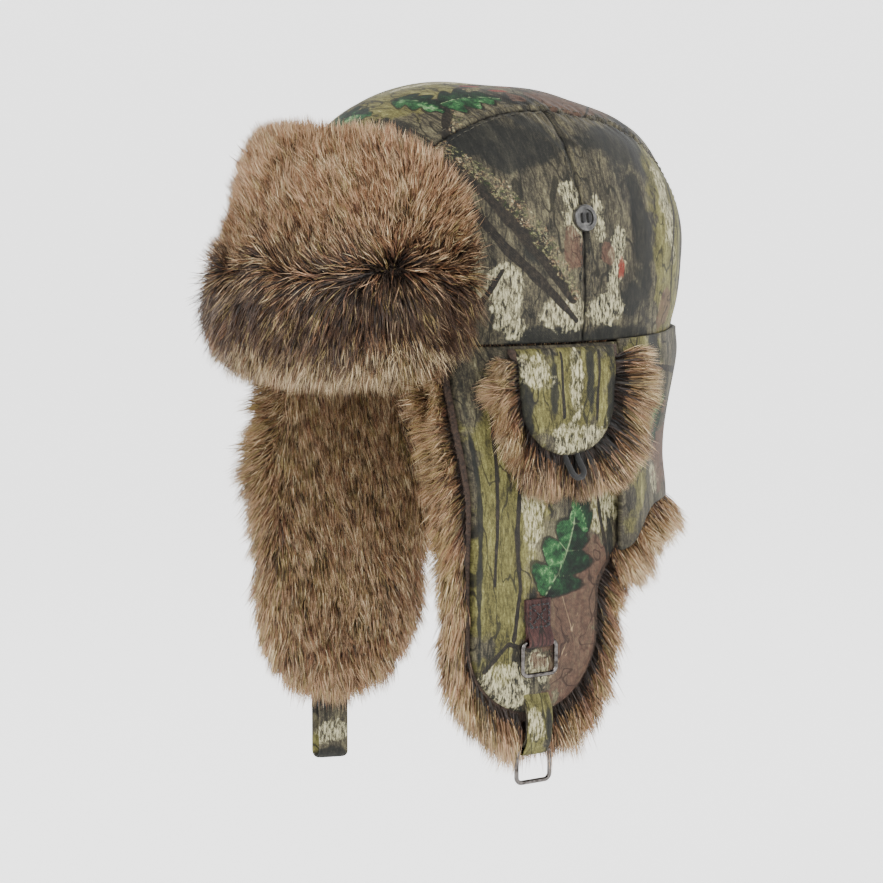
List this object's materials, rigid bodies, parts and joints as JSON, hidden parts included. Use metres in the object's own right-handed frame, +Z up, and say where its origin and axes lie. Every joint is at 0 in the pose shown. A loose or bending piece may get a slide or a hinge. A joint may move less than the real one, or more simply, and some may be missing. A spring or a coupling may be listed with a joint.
{
  "type": "trapper hat",
  "caption": "Fur-trimmed winter cap with a fold-down front visor, hanging ear flaps with small hearing flaps, a neck flap and a chin strap.",
  "frame": {"origin": "centre of the head opening, in the plane of the rim seam", "axes": "+Z up out of the crown, -Y towards the front of the hat, +X towards the wearer's left"},
  "size_m": [0.194, 0.2439, 0.3434],
  "materials": {
    "camo_cloth": "woven, woodland print",
    "faux_fur": "long pile",
    "padding": "wadding",
    "lining": "quilted lining",
    "button": "satin",
    "thread": "matt",
    "ring_metal": "polished gunmetal",
    "elastic": "braided",
    "hook_and_loop": "hook and loop"
  },
  "bodies": {
    "root": {"button_left": "button", "button_right": "button", "button_thread_left": "thread", "button_thread_right": "thread", "crown_center_panel": "camo_cloth", "crown_lining": "lining", "crown_padding": "padding", "crown_side_front_left": "camo_cloth", "crown_side_front_right": "camo_cloth", "crown_side_rear_left": "camo_cloth", "crown_side_rear_right": "camo_cloth", "neck_flap_fur": "faux_fur", "neck_flap_padding": "padding", "neck_flap_shell": "camo_cloth"},
    "visor": {"visor_fur": "faux_fur", "visor_padding": "padding", "visor_shell": "camo_cloth"},
    "ear_flap_left": {"ear_flap_fur_left": "faux_fur", "ear_flap_padding_left": "padding", "ear_flap_shell_left": "camo_cloth", "keeper_tab_left": "camo_cloth", "chin_tab_left": "camo_cloth"},
    "ear_flap_right": {"ear_flap_fur_right": "faux_fur", "ear_flap_padding_right": "padding", "ear_flap_shell_right": "camo_cloth", "chin_strap_base": "camo_cloth", "strap_loop_patch": "hook_and_loop"},
    "hearing_flap_left": {"hearing_elastic_loop_left": "ring_metal", "hearing_fur_left": "faux_fur", "hearing_patch_left": "ring_metal"},
    "hearing_flap_right": {"hearing_elastic_loop_right": "ring_metal", "hearing_fur_right": "faux_fur", "hearing_patch_right": "ring_metal"},
    "keeper_ring_left": {"keeper_ring_left": "ring_metal"},
    "chin_ring_left": {"chin_ring_left": "ring_metal"},
    "chin_strap_tail": {"chin_strap_tail": "camo_cloth", "strap_hook_patch": "hook_and_loop"}
  },
  "joints": [
    {"name": "visor_fold", "type": "hinge", "parent": "root", "child": "visor", "pos_m": [0, -0.105, 0], "axis": [1, 0, 0], "range_deg": [0, 90]},
    {"name": "ear_flap_left_fold", "type": "hinge", "parent": "root", "child": "ear_flap_left", "pos_m": [0.093, -0.03, 0], "axis": [0, -1, 0], "range_deg": [0, 160]},
    {"name": "ear_flap_right_fold", "type": "hinge", "parent": "root", "child": "ear_flap_right", "pos_m": [-0.093, -0.03, 0], "axis": [0, 1, 0], "range_deg": [0, 160]},
    {"name": "hearing_flap_left_lift", "type": "hinge", "parent": "ear_flap_left", "child": "hearing_flap_left", "pos_m": [0.093, -0.016, 0], "axis": [0, 1, 0], "range_deg": [-174, 0]},
    {"name": "hearing_flap_right_lift", "type": "hinge", "parent": "ear_flap_right", "child": "hearing_flap_right", "pos_m": [-0.093, -0.016, 0], "axis": [0, -1, 0], "range_deg": [-174, 0]},
    {"name": "keeper_ring_left_swing", "type": "hinge", "parent": "ear_flap_left", "child": "keeper_ring_left", "pos_m": [0.0913, -0.034, -0.138], "axis": [0, -1, 0], "range_deg": [0, 150]},
    {"name": "chin_ring_left_swing", "type": "hinge", "parent": "ear_flap_left", "child": "chin_ring_left", "pos_m": [0.0869, -0.034, -0.1895], "axis": [0, -1, 0], "range_deg": [0, 120]},
    {"name": "chin_strap_tail_unfold", "type": "hinge", "parent": "ear_flap_right", "child": "chin_strap_tail", "pos_m": [-0.0925, -0.034, -0.2229], "axis": [0, -1, 0], "range_deg": [0, 170]}
  ]
}
